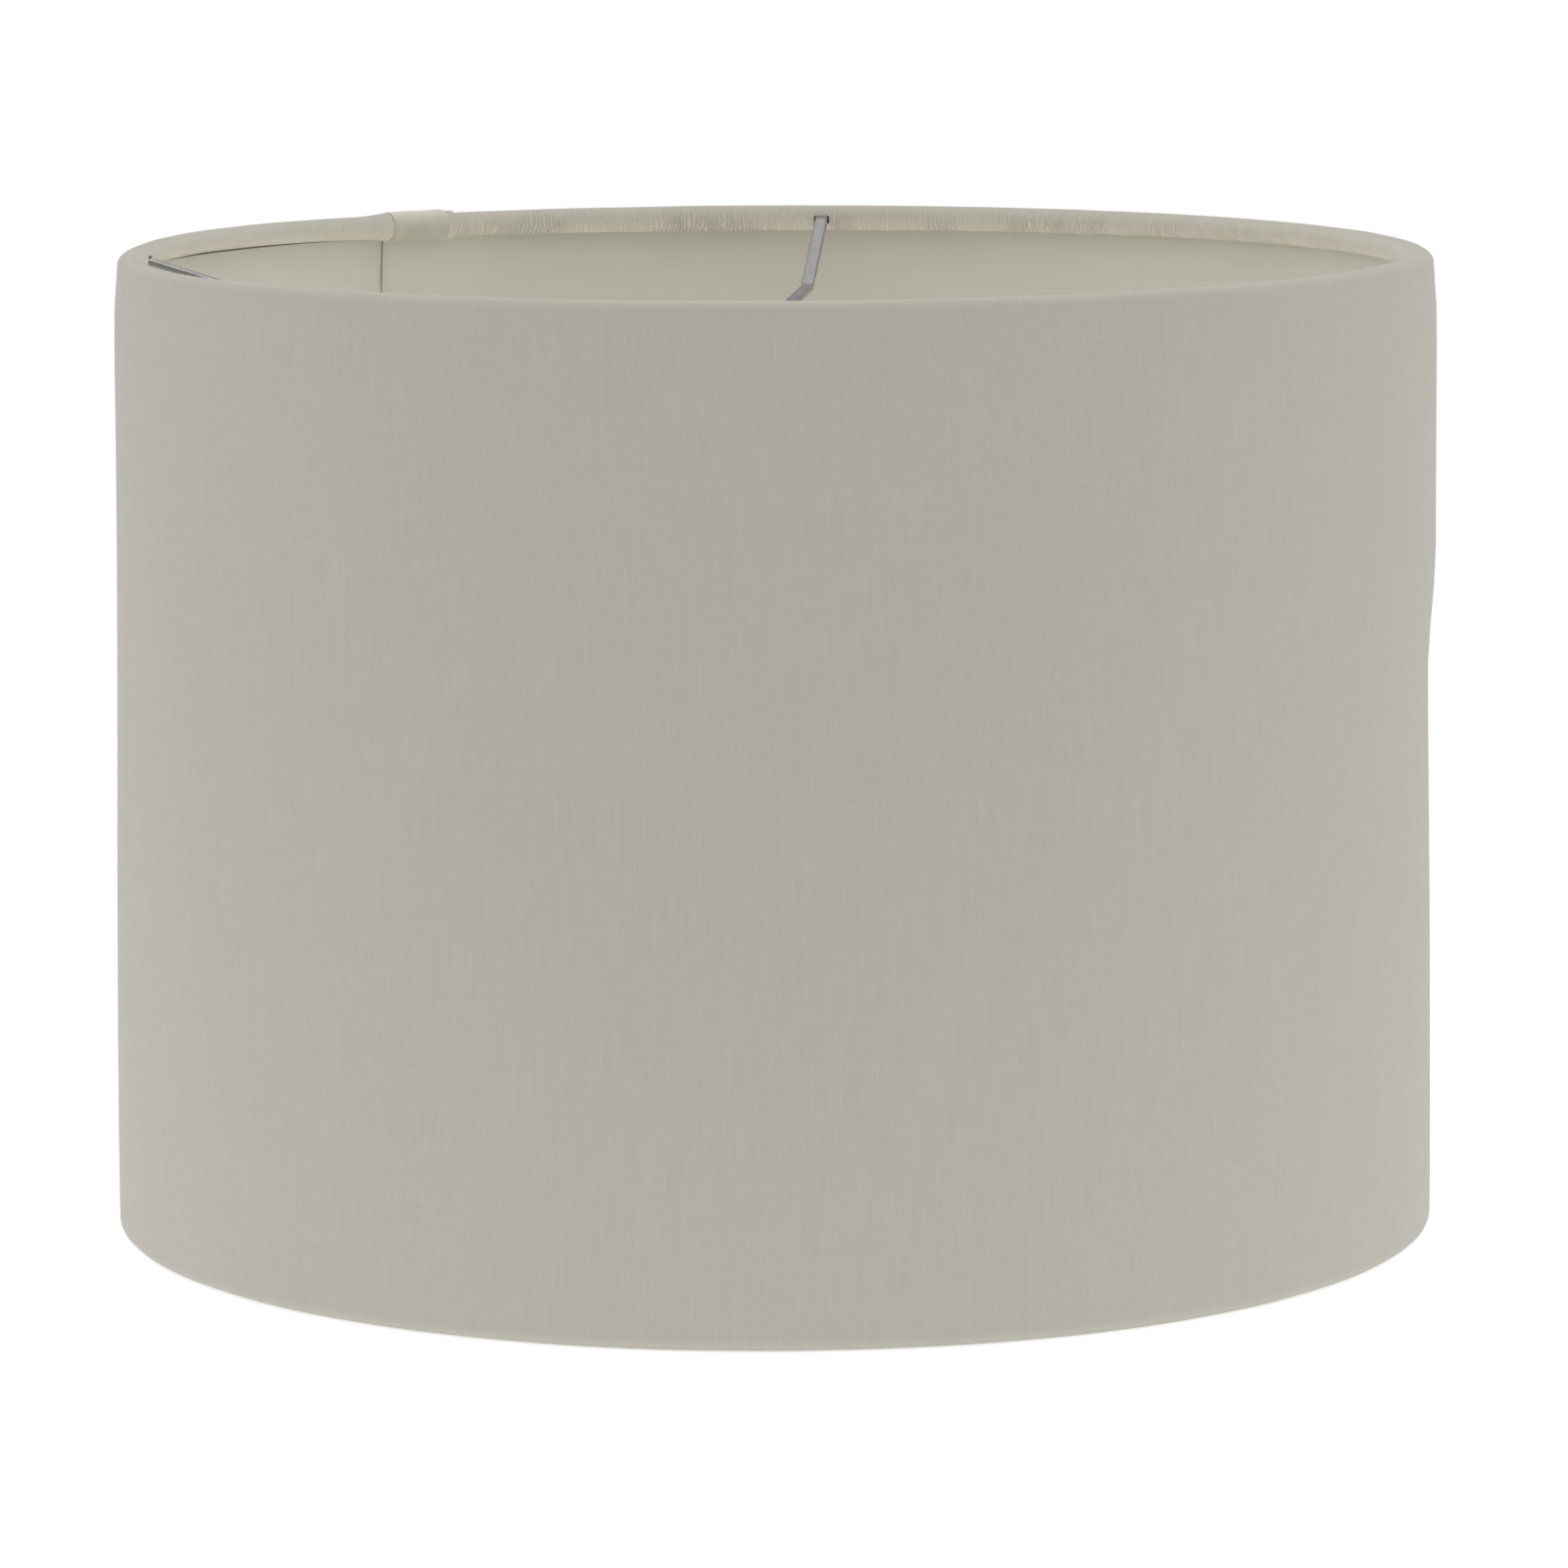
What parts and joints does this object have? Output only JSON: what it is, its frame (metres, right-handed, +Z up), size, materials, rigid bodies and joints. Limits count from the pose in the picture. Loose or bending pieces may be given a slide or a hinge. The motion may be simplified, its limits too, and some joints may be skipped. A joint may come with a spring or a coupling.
{
  "type": "drum lamp shade",
  "caption": "Straight drum lamp shade in off-white woven cloth on a hard plastic backing, with rolled hems and a recessed spider fitter.",
  "frame": {"origin": "on the shade's axis, at the level of the surface that its lower rim stands on", "axes": "+Z up along the shade's axis; the arms of the fitter lie along +X, +Y, -X and -Y, and the vertical seam is between +Y and -X"},
  "size_m": [0.3, 0.3, 0.2256],
  "materials": {
    "cover_cloth": "off-white plain-woven linen-look cloth, matt, fine slubs",
    "backing_plastic": "smooth off-white styrene sheet, low sheen",
    "tab_plastic": "smooth off-white strip, low sheen",
    "adhesive_tape": "double-sided adhesive tape, hidden in the seam",
    "hoop_wire": "zinc-plated steel wire, hidden in the hem",
    "plated_steel": "bright zinc or nickel plate, lightly marked"
  },
  "bodies": {
    "root": {"arm_1": "plated_steel", "arm_2": "plated_steel", "arm_3": "plated_steel", "arm_4": "plated_steel", "backing_sheet": "backing_plastic", "bottom_hoop": "hoop_wire", "cover": "cover_cloth", "fitter_ring": "plated_steel", "hem_tab": "tab_plastic", "seam_tape": "adhesive_tape", "top_hoop": "hoop_wire"}
  },
  "joints": []
}
